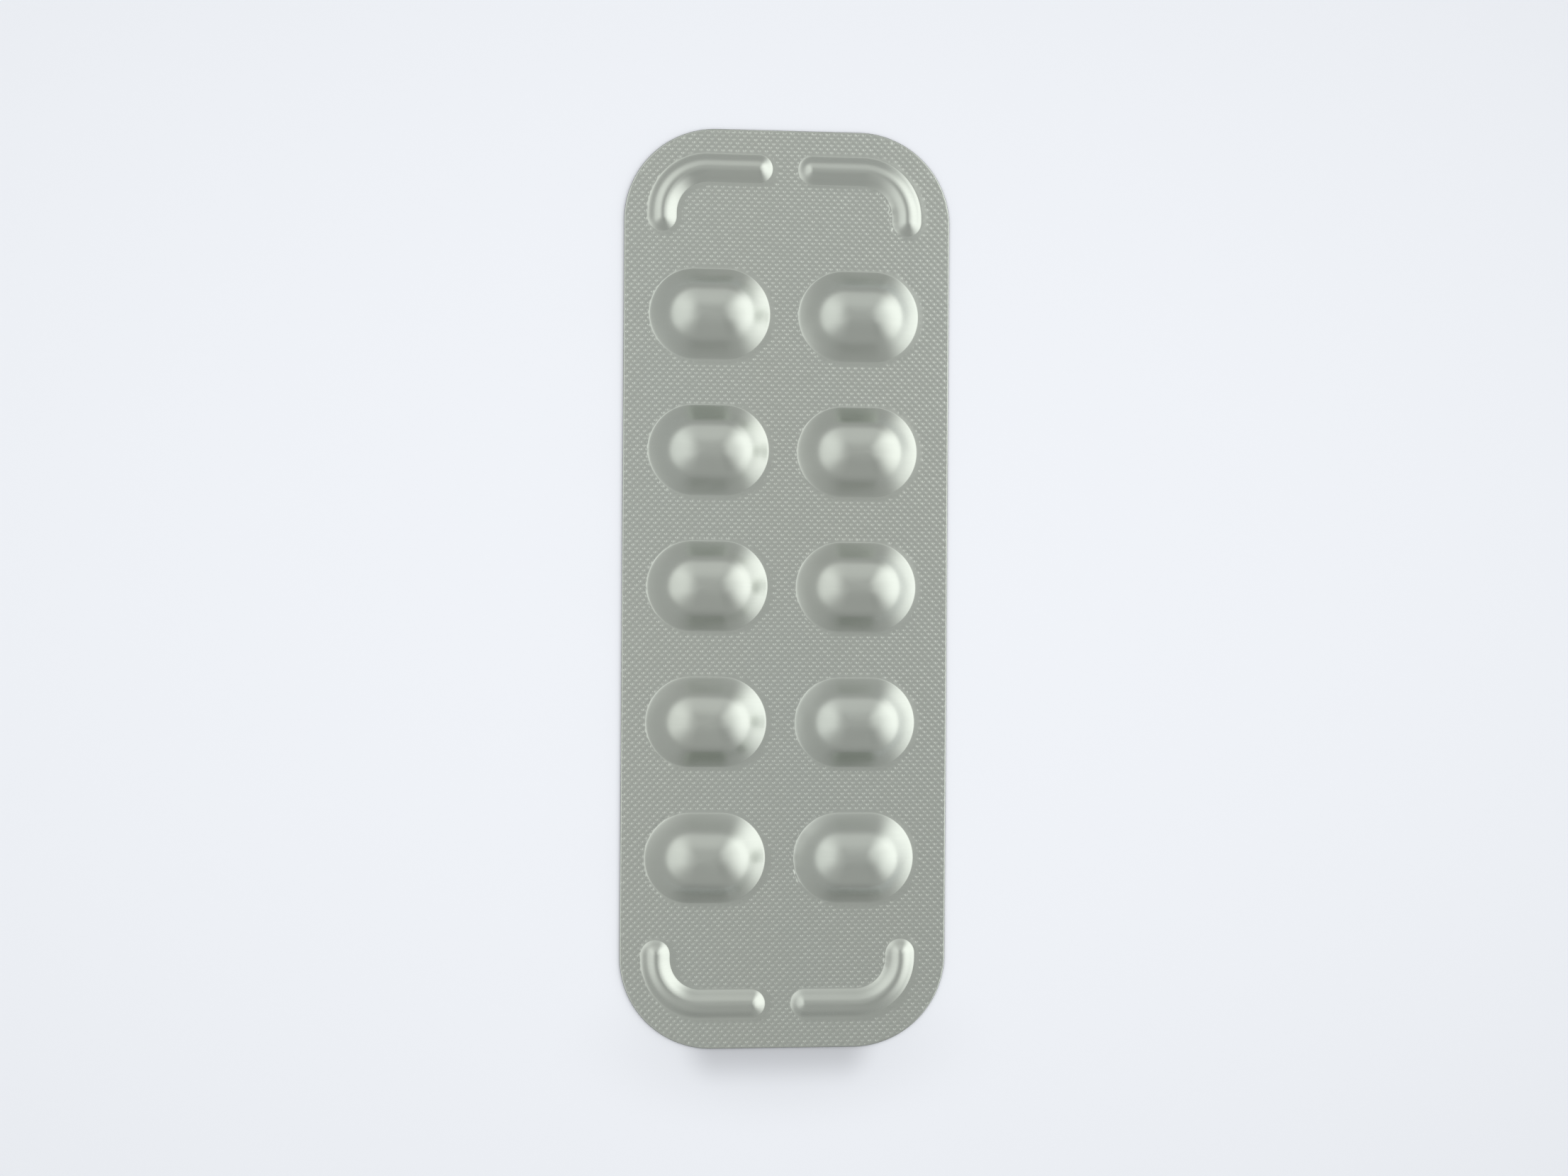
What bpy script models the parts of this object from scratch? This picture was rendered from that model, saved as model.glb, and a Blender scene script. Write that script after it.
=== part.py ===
"""Blister pack: ten sealed pockets and four stiffening beads formed up from one thin web.

The pack lies on its flat lidding foil. +Z points out of the pockets, +Y runs along the pack,
and the origin is under the middle of the cut outline, on the lidding foil's outer face.
Every size is in millimetres and becomes metres where the meshes are made.
"""

import math

import bmesh
import bpy
from mathutils import Matrix, Vector

MM = 0.001

# The web is forming laminate, lidding foil and the knurl pressed between them
WEB_THICKNESS = 0.25
PACK_CORNER_RADIUS = 10.7

# Pockets, which have round ends and lie across the pack
POCKET_COLUMNS = 2
POCKET_ROWS = 5
POCKET_WIDTH = 10.6  # along the pack
POCKET_STRAIGHT = 3.4  # between the centres of a pocket's round ends
POCKET_DEPTH = 2.75

# Bends of a pocket's section, out from the crest: share of the half width, steepness there to a
# scale that the whole rise sets, and rings of faces since the bend before
POCKET_BENDS = (
    (0.48, 0.56, 4),  # end of the low crown
    (0.61, 0.97, 2),  # below the tight shoulder
    (0.97, 0.68, 3),  # end of the wall, which eases off
    (1.0, 0.0, 1),  # small foot
)

# Seal lands round the pockets
COLUMN_SEAL = 3.36  # between the columns
ROW_SEAL = 5.18  # between neighbouring rows
SIDE_SEAL = 3.32  # between a column and the long cut edge

# Stiffening beads, one L round each corner of the pack
BEAD_WIDTH = 3.45
BEAD_HEIGHT = 0.88
BEAD_LEG_LENGTH = 9.23  # along the pack, over the bead's outer edge and its tip
BEAD_CORNER_RADIUS = 5.3  # on the bead's centre line
BEAD_SIDE_LAND = 2.97  # between a bead and the long cut edge
BEAD_END_LAND = 3.12  # between a bead and the short cut edge
BEAD_GAP = 2.9  # between the two beads of one end
BEAD_POCKET_SEAL = 4.14  # between a bead's tip and the end row of pockets

# Bends of a bead's section, as for a pocket
BEAD_BENDS = (
    (0.5, 0.8, 2),  # end of the round crest
    (0.72, 1.0, 1),  # steepest line
    (0.94, 0.75, 2),  # end of the wall
    (1.0, 0.0, 1),  # small foot
)

# The cutting die sits a little off the forming tool, so the formed pattern is off centre
PATTERN_SHIFT_X = -0.45
PATTERN_SHIFT_Y = 0.33
PATTERN_TURN_DEG = -0.17

# Facets
OUTLINE_CORNER_STEPS = 12
POCKET_CAP_STEPS = 17
BEAD_CAP_STEPS = 10
BEAD_CORNER_STEPS = 9
SHARP_ANGLE_DEG = 20.0

# Sizes that follow from the ones above
COLUMN_PITCH = POCKET_WIDTH + POCKET_STRAIGHT + COLUMN_SEAL
ROW_PITCH = POCKET_WIDTH + ROW_SEAL
PACK_WIDTH = POCKET_COLUMNS * COLUMN_PITCH - COLUMN_SEAL + 2 * SIDE_SEAL
END_MARGIN = BEAD_POCKET_SEAL + BEAD_LEG_LENGTH + BEAD_END_LAND
PACK_LENGTH = POCKET_ROWS * ROW_PITCH - ROW_SEAL + 2 * END_MARGIN

# Surface
FOIL_COLOUR = (0.495, 0.528, 0.481, 1.0)
FOIL_ROUGHNESS = 0.32


def clear_scene():
    for thing in list(bpy.data.objects):
        bpy.data.objects.remove(thing)


def foil_material():
    """Satin aluminium, as rolled."""
    material = bpy.data.materials.new("satin_foil")
    material.use_nodes = True
    surface = material.node_tree.nodes["Principled BSDF"]
    surface.inputs["Base Color"].default_value = FOIL_COLOUR
    surface.inputs["Metallic"].default_value = 1.0
    surface.inputs["Roughness"].default_value = FOIL_ROUGHNESS
    return material


def arc_points(centre, radius, start, end, steps):
    """Points along an arc, both ends included."""
    points = []
    for step in range(steps + 1):
        angle = start + (end - start) * step / steps
        points.append(centre + radius * Vector((math.cos(angle), math.sin(angle))))
    return points


def outline_loop():
    """The cut outline, anticlockwise from the middle of the right-hand edge's lower end."""
    radius = min(PACK_CORNER_RADIUS, PACK_WIDTH / 2, PACK_LENGTH / 2)
    across = PACK_WIDTH / 2 - radius
    along = PACK_LENGTH / 2 - radius
    quarter = math.pi / 2
    corners = ((across, -along, -1), (across, along, 0), (-across, along, 1), (-across, -along, 2))
    loop = []
    for x, y, turn in corners:
        loop += arc_points(Vector((x, y)), radius, turn * quarter, (turn + 1) * quarter, OUTLINE_CORNER_STEPS)
    return loop


def web_mesh():
    """The flat web, from the lidding foil's outer face to the top of the seal."""
    bm = bmesh.new()
    floor = bm.faces.new([bm.verts.new((x * MM, y * MM, 0.0)) for x, y in outline_loop()])
    floor.normal_flip()
    raised = bmesh.ops.extrude_face_region(bm, geom=[floor], use_keep_orig=True)
    top = [item for item in raised["geom"] if isinstance(item, bmesh.types.BMVert)]
    bmesh.ops.translate(bm, verts=top, vec=(0.0, 0.0, WEB_THICKNESS * MM))
    bmesh.ops.recalc_face_normals(bm, faces=bm.faces)
    mesh = bpy.data.meshes.new("web")
    bm.to_mesh(mesh)
    bm.free()
    return mesh


def loop_round(spine, reach, cap_steps):
    """A closed loop at one distance from a spine of (point, direction), half round at each end."""
    back = [(point, -direction) for point, direction in reversed(spine)]
    loop = []
    for stations in (spine, back):
        for point, direction in stations:
            loop.append(point + reach * Vector((direction.y, -direction.x)))
        point, direction = stations[-1]
        for step in range(1, cap_steps):
            turn = Matrix.Rotation(math.pi * (step / cap_steps - 0.5), 2)
            loop.append(point + reach * (turn @ direction))
    return loop


def add_raised_form(bm, spine, section, cap_steps):
    """Loft rings from inside the web, up the wall and in to the spine, where the crest closes."""
    levels = [(section[-1][0], WEB_THICKNESS / 2)]
    levels += [(reach, WEB_THICKNESS + height) for reach, height in reversed(section)]
    loops = []
    for reach, height in levels:
        loop = [bm.verts.new((x * MM, y * MM, height * MM)) for x, y in loop_round(spine, reach, cap_steps)]
        loops.append(loop)
    bm.faces.new(reversed(loops[0]))
    for lower, upper in zip(loops, loops[1:]):
        for index in range(len(lower)):
            after = (index + 1) % len(lower)
            bm.faces.new((lower[index], lower[after], upper[after], upper[index]))


def formed_section(half_width, rise, bends):
    """Reach and height at each ring, crest first, as the steepness changes evenly between bends."""
    drops = [(0.0, 0.0)]
    share_before, steepness_before = 0.0, 0.0
    for share, steepness, rings in bends:
        drop_before = drops[-1][1]
        for ring in range(1, rings + 1):
            part = ring / rings
            run = (share - share_before) * part
            mean_steepness = steepness_before + (steepness - steepness_before) * part / 2
            drops.append((share_before + run, drop_before + run * mean_steepness))
        share_before, steepness_before = share, steepness
    whole_drop = drops[-1][1]
    return [(half_width * share, rise * (1 - drop / whole_drop)) for share, drop in drops]


def pocket_spines():
    """One short spine across the pack for each pocket."""
    across = Vector((1.0, 0.0))
    reach = POCKET_STRAIGHT / 2 * across
    for column in range(POCKET_COLUMNS):
        for row in range(POCKET_ROWS):
            x = (column - (POCKET_COLUMNS - 1) / 2) * COLUMN_PITCH
            y = (row - (POCKET_ROWS - 1) / 2) * ROW_PITCH
            centre = Vector((x, y))
            yield [(centre - reach, across), (centre + reach, across)]


def bead_spine(side, end):
    """An L from the gap at the middle of one end, round the corner and a little way down the side."""
    half_width = BEAD_WIDTH / 2
    inner_x = BEAD_GAP / 2 + half_width
    outer_x = PACK_WIDTH / 2 - BEAD_SIDE_LAND - half_width
    outer_y = PACK_LENGTH / 2 - BEAD_END_LAND - half_width
    inner_y = outer_y - (BEAD_LEG_LENGTH - BEAD_WIDTH)
    radius = min(BEAD_CORNER_RADIUS, outer_x - inner_x, outer_y - inner_y)
    centre = Vector((outer_x - radius, outer_y - radius))
    spine = [(Vector((inner_x, outer_y)), Vector((1.0, 0.0)))]
    for step in range(BEAD_CORNER_STEPS + 1):
        angle = 0.5 * math.pi * (1 - step / BEAD_CORNER_STEPS)
        outward = Vector((math.cos(angle), math.sin(angle)))
        spine.append((centre + radius * outward, Vector((outward.y, -outward.x))))
    spine.append((Vector((outer_x, inner_y)), Vector((0.0, -1.0))))
    return [
        (Vector((side * point.x, end * point.y)), Vector((side * direction.x, end * direction.y)))
        for point, direction in spine
    ]


def formed_mesh():
    """All pockets and beads, each a closed form that starts inside the web."""
    bm = bmesh.new()
    pocket = formed_section(POCKET_WIDTH / 2, POCKET_DEPTH, POCKET_BENDS)
    for spine in pocket_spines():
        add_raised_form(bm, spine, pocket, POCKET_CAP_STEPS)
    bead = formed_section(BEAD_WIDTH / 2, BEAD_HEIGHT, BEAD_BENDS)
    for side in (-1, 1):
        for end in (-1, 1):
            add_raised_form(bm, bead_spine(side, end), bead, BEAD_CAP_STEPS)
    bmesh.ops.remove_doubles(bm, verts=bm.verts, dist=1e-6)
    bmesh.ops.recalc_face_normals(bm, faces=bm.faces)
    mesh = bpy.data.meshes.new("formed_shapes")
    bm.to_mesh(mesh)
    bm.free()
    return mesh


def add_object(name, mesh):
    thing = bpy.data.objects.new(name, mesh)
    bpy.context.scene.collection.objects.link(thing)
    return thing


def build():
    clear_scene()
    pack = add_object("blister_pack", web_mesh())
    formed = add_object("formed_shapes", formed_mesh())
    formed.location = (PATTERN_SHIFT_X * MM, PATTERN_SHIFT_Y * MM, 0.0)
    formed.rotation_euler.z = math.radians(PATTERN_TURN_DEG)
    union = pack.modifiers.new("join_formed_shapes", "BOOLEAN")
    union.operation = "UNION"
    union.object = formed
    bpy.context.view_layer.update()
    graph = bpy.context.evaluated_depsgraph_get()
    joined = bpy.data.meshes.new_from_object(pack.evaluated_get(graph))
    pack.modifiers.clear()
    pack.data = joined
    bpy.data.objects.remove(formed)
    joined.name = "blister_pack"
    joined.materials.clear()
    joined.materials.append(foil_material())
    joined.shade_smooth()
    joined.set_sharp_from_angle(angle=math.radians(SHARP_ANGLE_DEG))


build()
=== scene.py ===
"""Dresses a sealed foil pack for ten tablets as its two skins, the formed foil and the lidding foil.

The formed foil is the face with the pockets, the stiffening beads and the knurled seal. The lidding
foil is the flat sheet behind it. The pack's sizes are in millimetres and become metres where a mesh
is made. The studio's sizes are in metres.
"""

import logging
import math
from dataclasses import dataclass, field
from enum import Enum

import bpy
import numpy as np
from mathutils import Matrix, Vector
from mathutils.geometry import delaunay_2d_cdt


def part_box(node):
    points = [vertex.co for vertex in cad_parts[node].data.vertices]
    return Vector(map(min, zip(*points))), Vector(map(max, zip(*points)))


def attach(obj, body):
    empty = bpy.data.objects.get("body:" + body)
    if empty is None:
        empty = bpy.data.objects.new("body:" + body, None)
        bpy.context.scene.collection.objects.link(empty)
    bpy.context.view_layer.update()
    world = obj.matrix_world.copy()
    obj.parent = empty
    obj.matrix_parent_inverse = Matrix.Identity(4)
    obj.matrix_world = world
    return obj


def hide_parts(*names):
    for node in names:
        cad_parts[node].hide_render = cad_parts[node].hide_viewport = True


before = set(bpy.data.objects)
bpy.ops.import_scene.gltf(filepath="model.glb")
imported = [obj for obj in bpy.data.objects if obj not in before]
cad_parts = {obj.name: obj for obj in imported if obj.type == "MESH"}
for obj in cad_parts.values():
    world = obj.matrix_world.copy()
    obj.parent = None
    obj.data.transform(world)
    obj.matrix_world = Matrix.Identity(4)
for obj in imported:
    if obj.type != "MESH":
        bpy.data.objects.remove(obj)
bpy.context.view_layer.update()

MM = 0.001
NODE = "blister_pack"
BODY = "root"

Points = np.ndarray
Faces = list[tuple[int, ...]]
Socket = bpy.types.NodeSocket
log = logging.getLogger("blister_pack")


class Side(Enum):
    """Which way a skin's knurled face looks."""

    POCKETS = 1
    LIDDING = -1


@dataclass(frozen=True)
class Spine:
    """A line that a formed shape is swept round.

    Attributes:
        points: Stations along the line, one row each.
        directions: The unit direction of travel at each station.
    """

    points: Points
    directions: Points

    def loop(self, reach: float, cap_steps: int) -> Points:
        """Goes round the spine at one distance, anticlockwise and half round at each end.

        Args:
            reach: Distance from the spine.
            cap_steps: Steps in each half-round end.

        Returns:
            The loop's points, one row each.
        """
        angles = np.pi * (np.arange(1, cap_steps) / cap_steps - 0.5)
        turned = np.column_stack((np.cos(angles), np.sin(angles)))
        runs = []
        ways = ((self.points, self.directions), (self.points[::-1], -self.directions[::-1]))
        for points, directions in ways:
            runs.append(points + reach * np.column_stack((directions[:, 1], -directions[:, 0])))
            ahead = directions[-1]
            aside = np.array((-ahead[1], ahead[0]))
            runs.append(points[-1] + reach * (turned[:, :1] * ahead + turned[:, 1:] * aside))
        return np.vstack(runs)

    def distance(self, places: Points) -> Points:
        """Measures how far each place lies from the spine.

        Args:
            places: Places in the plane, one row each.

        Returns:
            One distance for each place.
        """
        nearest = np.full(len(places), np.inf)
        for start, end in zip(self.points, self.points[1:]):
            run = end - start
            share = np.clip((places - start) @ run / (run @ run), 0.0, 1.0)
            gap = places - start - share[:, None] * run
            nearest = np.minimum(nearest, np.hypot(gap[:, 0], gap[:, 1]))
        return nearest

    def gathered(self, share: float) -> "Spine":
        """Draws the spine's points in towards its middle.

        Args:
            share: Share of their distance from it that they keep.

        Returns:
            The shorter spine.
        """
        middle = self.points.mean(axis=0)
        return Spine(middle + share * (self.points - middle), self.directions)

    def moved(self, turn: float, shift: Points) -> "Spine":
        """Turns the spine about the origin and then shifts it.

        Args:
            turn: Angle in radians, anticlockwise.
            shift: The shift that follows.

        Returns:
            The spine in its new place.
        """
        matrix = np.array(((math.cos(turn), math.sin(turn)), (-math.sin(turn), math.cos(turn))))
        return Spine(self.points @ matrix + shift, self.directions @ matrix)


@dataclass(frozen=True)
class Bend:
    """A station on a formed shape's section, out from the crest.

    Attributes:
        share: Share of the half width.
        steepness: Rise over run there, to a scale that the whole rise sets.
        rings: Rings of faces between the station before and this one.
    """

    share: float
    steepness: float
    rings: int


@dataclass(frozen=True)
class Form:
    """What the forms of pockets and beads have in common.

    Attributes:
        width: Width of the foot across its spine.
        rise: Height of the crest over the web.
        bends: The section's bends, from the crest out.
        gather: How the spine shortens from the foot up, as a power of a ring's share of the half width.
        cap_steps: Steps in each half-round end.
    """

    width: float
    rise: float
    bends: tuple[Bend, ...]
    gather: float
    cap_steps: int

    def section(self) -> list[tuple[float, float]]:
        """Works out the section, whose steepness changes evenly between the bends.

        Returns:
            Distance from the spine and height over the web at each ring, from the crest out.
        """
        drops = [(0.0, 0.0)]
        before = Bend(0.0, 0.0, 0)
        for bend in self.bends:
            run, first_drop = bend.share - before.share, drops[-1][1]
            for ring in range(1, bend.rings + 1):
                part = ring / bend.rings
                mean = before.steepness + (bend.steepness - before.steepness) * part / 2
                drops.append((before.share + run * part, first_drop + run * part * mean))
            before = bend
        total = drops[-1][1]
        return [(self.width / 2 * share, self.rise * (1 - drop / total)) for share, drop in drops]


@dataclass(frozen=True)
class PocketForm(Form):
    """A pocket's drawn shape: a low crown, a tight shoulder, a wall that eases off and a small foot.

    Attributes:
        straight: Length of the spine at the foot.
        stations: Points along the spine.
    """

    width: float = 10.6
    rise: float = 2.75
    bends: tuple[Bend, ...] = (
        Bend(0.46, 0.52, 9),
        Bend(0.66, 1.03, 6),
        Bend(0.75, 1.0, 2),
        Bend(0.87, 0.9, 3),
        Bend(0.98, 0.82, 3),
        Bend(1.0, 0.0, 3),
    )
    gather: float = 0.25
    cap_steps: int = 42
    straight: float = 3.5
    stations: int = 9

    def spine(self, centre: tuple[float, float]) -> Spine:
        """Lays the pocket's short spine across the pack.

        Args:
            centre: The pocket's middle.

        Returns:
            The spine.
        """
        x = centre[0] + self.straight * np.linspace(-0.5, 0.5, self.stations)
        points = np.column_stack((x, np.full(self.stations, centre[1])))
        return Spine(points, np.tile((1.0, 0.0), (self.stations, 1)))


@dataclass(frozen=True)
class BeadForm(Form):
    """A stiffening bead: an L round a corner of the pack, with a round crest and a small foot.

    Attributes:
        leg_length: Length of the foot along the side of the pack.
        corner_radius: Radius of the spine's corner.
        side_land: Seal between the foot and the cut at the side.
        end_land: Seal between the foot and the cut at the end.
        gap: Seal between the two beads at one end.
        corner_steps: Steps round the spine's corner.
        leg_step: Distance between stations on the leg across the pack.
    """

    width: float = 3.45
    rise: float = 0.77
    bends: tuple[Bend, ...] = (
        Bend(0.5, 0.8, 4),
        Bend(0.72, 1.0, 3),
        Bend(0.94, 0.75, 3),
        Bend(1.0, 0.0, 3),
    )
    gather: float = 0.0
    cap_steps: int = 20
    leg_length: float = 9.23
    corner_radius: float = 5.3
    side_land: float = 2.97
    end_land: float = 3.12
    gap: float = 2.9
    corner_steps: int = 24
    leg_step: float = 0.45

    def spine(self, pack_width: float, pack_length: float, side: int, end: int) -> Spine:
        """Runs the bead's spine from the gap at the middle of one end, round the corner and down the side.

        Args:
            pack_width: Width of the cut outline.
            pack_length: Length of the cut outline.
            side: 1 for the right-hand corners, -1 for the left-hand ones.
            end: 1 for the far end, -1 for the near one.

        Returns:
            The spine.
        """
        half_width = self.width / 2
        inner_x = self.gap / 2 + half_width
        outer_x = pack_width / 2 - self.side_land - half_width
        outer_y = pack_length / 2 - self.end_land - half_width
        tip_y = outer_y - (self.leg_length - self.width)
        centre = np.array((outer_x - self.corner_radius, outer_y - self.corner_radius))
        angles = np.linspace(np.pi / 2, 0.0, self.corner_steps + 1)
        outward = np.column_stack((np.cos(angles), np.sin(angles)))
        arc = centre + self.corner_radius * outward
        leg_x = np.arange(inner_x, centre[0] - self.leg_step / 2, self.leg_step)
        leg = np.column_stack((leg_x, np.full(len(leg_x), outer_y)))
        points = np.vstack((leg, arc, ((outer_x, tip_y),)))
        directions = np.vstack((
            np.tile((1.0, 0.0), (len(leg), 1)),
            np.column_stack((outward[:, 1], -outward[:, 0])),
            ((0.0, -1.0),),
        ))
        mirror = np.array((side, end))
        points, directions = points * mirror, directions * mirror
        if side * end < 0:
            return Spine(points[::-1], -directions[::-1])
        return Spine(points, directions)


@dataclass(frozen=True)
class FormedShape:
    """One pocket or bead in its place on the pack.

    Attributes:
        form: Its form.
        spine: The line that its foot goes round.
    """

    form: Form
    spine: Spine

    def foot(self) -> Points:
        """Gives the loop that the foot follows."""
        return self.spine.loop(self.form.width / 2, self.form.cap_steps)

    def past_foot(self, places: Points) -> Points:
        """Measures how far outside the foot each place lies, and inside as a negative number."""
        return self.spine.distance(places) - self.form.width / 2


def past_foot(shapes: list[FormedShape], places: Points) -> Points:
    """Measures how far outside the nearest formed shape each place lies."""
    return np.min([shape.past_foot(places) for shape in shapes], axis=0)


@dataclass(frozen=True)
class Tear:
    """A stretch of a foot where the foil tore a little as it was drawn.

    Attributes:
        place: Its middle.
        reach: Distance from the middle at which it ends.
        depth: Deepest notch.
        seed: Picks the notches.
    """

    place: tuple[float, float]
    reach: float
    depth: float
    seed: int


@dataclass(frozen=True)
class FormingTool:
    """The tool that presses the pockets and beads, a little off the middle of the cut outline.

    Attributes:
        pocket: The pockets' form.
        bead: The beads' form.
        columns: Pockets across the pack.
        rows: Pockets along it.
        column_seal: Seal between the feet of neighbours in a row.
        row_seal: Seal between the feet of neighbours in a column.
        shift: How far the tool's middle lies off the outline's.
        turn: Angle of the tool to the outline.
        tears: Where the foil tore.
    """

    pocket: PocketForm = field(default_factory=PocketForm)
    bead: BeadForm = field(default_factory=BeadForm)
    columns: int = 2
    rows: int = 5
    column_seal: float = 3.26
    row_seal: float = 5.18
    shift: tuple[float, float] = (-0.44, 0.33)
    turn: float = math.radians(-0.17)
    tears: tuple[Tear, ...] = (
        Tear((11.9, 43.6), 2.2, 0.15, 1),
        Tear((11.9, -43.4), 1.4, 0.15, 2),
        Tear((1.2, -31.0), 3.4, 0.1, 3),
    )

    def notch_depth(self, places: Points) -> Points:
        """Gives the depth of the notches along a foot.

        Args:
            places: Places on the foot, one row each.

        Returns:
            One depth for each place.
        """
        depth = np.zeros(len(places))
        for tear in self.tears:
            share = np.clip(1 - np.hypot(*(places - tear.place).T) / tear.reach, 0.0, 1.0)
            chance = np.random.default_rng(tear.seed).random(len(places))
            depth = np.maximum(depth, tear.depth * np.sqrt(share) * chance)
        return depth

    def shapes(self, pack_width: float, pack_length: float) -> list[FormedShape]:
        """Places every pocket and bead.

        Args:
            pack_width: Width of the cut outline.
            pack_length: Length of the cut outline.

        Returns:
            The shapes, pockets first.
        """
        column_pitch = self.pocket.width + self.pocket.straight + self.column_seal
        row_pitch = self.pocket.width + self.row_seal
        placed = []
        for column in range(self.columns):
            for row in range(self.rows):
                x = (column - (self.columns - 1) / 2) * column_pitch
                y = (row - (self.rows - 1) / 2) * row_pitch
                placed.append((self.pocket, self.pocket.spine((x, y))))
        for side in (-1, 1):
            for end in (-1, 1):
                placed.append((self.bead, self.bead.spine(pack_width, pack_length, side, end)))
        shift = np.array(self.shift)
        return [FormedShape(form, spine.moved(self.turn, shift)) for form, spine in placed]


@dataclass(frozen=True)
class CutOutline:
    """The die-cut outline, a rectangle with round corners.

    Attributes:
        width: Its width.
        length: Its length.
        corner_radius: Radius of its corners.
        corner_steps: Steps round each corner.
        edge_step: Distance between points on its straight sides.
    """

    width: float
    length: float
    corner_radius: float = 10.7
    corner_steps: int = 48
    edge_step: float = 0.5

    def loop(self, inset: float) -> Points:
        """Goes round the outline anticlockwise at one distance inside it.

        Args:
            inset: Distance in from the cut.

        Returns:
            The loop's points, one row each.
        """
        across = self.width / 2 - self.corner_radius
        along = self.length / 2 - self.corner_radius
        radius = self.corner_radius - inset
        runs = []
        corners = ((across, -along), (across, along), (-across, along), (-across, -along))
        for turn, centre in enumerate(corners):
            angles = np.pi / 2 * (turn - 1 + np.arange(self.corner_steps + 1) / self.corner_steps)
            runs.append(centre + radius * np.column_stack((np.cos(angles), np.sin(angles))))
            outward = np.array((np.cos(angles[-1]), np.sin(angles[-1])))
            following = np.array(corners[(turn + 1) % 4]) + radius * outward
            steps = max(1, round(float(np.hypot(*(following - runs[-1][-1]))) / self.edge_step))
            shares = np.arange(1, steps)[:, None] / steps
            runs.append(runs[-1][-1] + shares * (following - runs[-1][-1]))
        return np.vstack(runs)

    def inside(self, places: Points) -> Points:
        """Measures how far inside the cut each place lies.

        Args:
            places: Places in the plane, one row each.

        Returns:
            One distance for each place, negative outside.
        """
        beyond = np.abs(places) - (np.array((self.width, self.length)) / 2 - self.corner_radius)
        outer = np.hypot(*np.maximum(beyond, 0.0).T)
        return self.corner_radius - outer - np.minimum(beyond.max(axis=1), 0.0)


@dataclass(frozen=True)
class SealDie:
    """The heated die that knurls the seal, with an opening round each formed shape.

    Attributes:
        pitch: Knurl pitch along its own rows.
        turn: Angle of those rows to the pack.
        mouth: Width of one dent.
        roundness: Power by which a dent's hollow grows out from its deepest point.
        unevenness: Most share of its depth that a dent lacks.
        valley_shares: How far along its valleys a dent has points, across the pack and along it, as
            shares of the way from its middle to a corner.
        lean: How far a dent's deepest point lies off its middle.
        clearance: Room that the die's opening leaves round a formed shape.
        shift: How far the die sits off the forming tool.
        fade: Distance over which the dents begin outside an opening.
        relief: Most height that the unpressed foil keeps at the foot of a formed shape.
        relief_slope: Steepest fall of the unpressed foil from a foot to the opening.
    """

    pitch: float = 0.6
    turn: float = math.radians(45.0)
    mouth: float = 0.33
    roundness: float = 1.4
    unevenness: float = 0.35
    valley_shares: tuple[float, float] = (0.5, 0.25)
    lean: tuple[float, float] = (0.0, -0.02)
    clearance: float = 0.22
    shift: tuple[float, float] = (0.38, -0.12)
    fade: float = 0.1
    relief: float = 0.028
    relief_slope: float = 0.08

    def past_opening(self, shapes: list[FormedShape], places: Points) -> Points:
        """Measures how far outside the nearest opening each place lies, and inside as a negative number."""
        return past_foot(shapes, places - np.array(self.shift)) - self.clearance

    def pressed(self, shapes: list[FormedShape], places: Points) -> Points:
        """Gives the share of the knurl's depth at each place."""
        return np.clip(self.past_opening(shapes, places) / self.fade, 0.0, 1.0)

    def relief_height(self, shapes: list[FormedShape], places: Points) -> Points:
        """Gives the height over the seal of the unpressed foil, which falls from each foot to the opening.

        Args:
            shapes: The formed shapes.
            places: Places on the web, one row each.

        Returns:
            One height for each place.
        """
        to_opening = np.maximum(-self.past_opening(shapes, places), 0.0)
        from_foot = np.maximum(past_foot(shapes, places), 0.0)
        room = to_opening + from_foot
        return np.minimum(self.relief, self.relief_slope * room) * to_opening / np.maximum(room, 1e-6)

    def lattice(self, outline: CutOutline, shapes: list[FormedShape]) -> Points:
        """Lays nine points to each dent: its deepest, one up each of its four valleys and the corners.

        Args:
            outline: The outline to cover.
            shapes: The formed shapes, which leave one point to each dent that isn't pressed.

        Returns:
            Points inside the outline, one row each.
        """
        count = math.ceil(math.hypot(outline.width, outline.length) / 2 / self.pitch)
        steps = self.pitch * np.arange(-count, count + 1)
        cosine, sine = math.cos(self.turn), math.sin(self.turn)
        turning = np.array(((cosine, sine), (-sine, cosine)))
        middles = np.stack(np.meshgrid(steps, steps), axis=-1).reshape(-1, 2) @ turning
        middles = middles[outline.inside(middles) > -self.pitch]
        corners = self.mouth / 2 * np.array(((1.0, 1.0), (-1.0, 1.0), (-1.0, -1.0), (1.0, -1.0))) @ turning
        valleys = corners * np.array(self.valley_shares)
        offsets = np.vstack((self.lean, valleys, corners))
        dented = self.past_opening(shapes, middles) > -self.pitch
        places = np.vstack(((middles[dented, None] + offsets).reshape(-1, 2), middles[~dented]))
        return places[outline.inside(places) > 0.0]


def triangulated(loose: Points, loops: list[Points]) -> tuple[Points, Points, list[np.ndarray]]:
    """Joins loose points and closed loops into one flat sheet of triangles.

    Args:
        loose: Points that may be used anywhere.
        loops: Closed loops whose edges the triangles keep.

    Returns:
        The points, the triangles and, for each loop, its points' numbers.
    """
    points = np.vstack([loose, *loops])
    edges, firsts = [], []
    first = len(loose)
    for loop in loops:
        firsts.append(first)
        edges += [(first + step, first + (step + 1) % len(loop)) for step in range(len(loop))]
        first += len(loop)
    made = delaunay_2d_cdt([Vector(point) for point in points.tolist()], edges, [], 0, 1e-6)
    number = np.zeros(len(points), dtype=int)
    for new, old in enumerate(made[3]):
        number[old] = new
    places = np.array([(point.x, point.y) for point in made[0]])
    numbers = [number[first : first + len(loop)] for first, loop in zip(firsts, loops)]
    return places, np.array(made[2]), numbers


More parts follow.
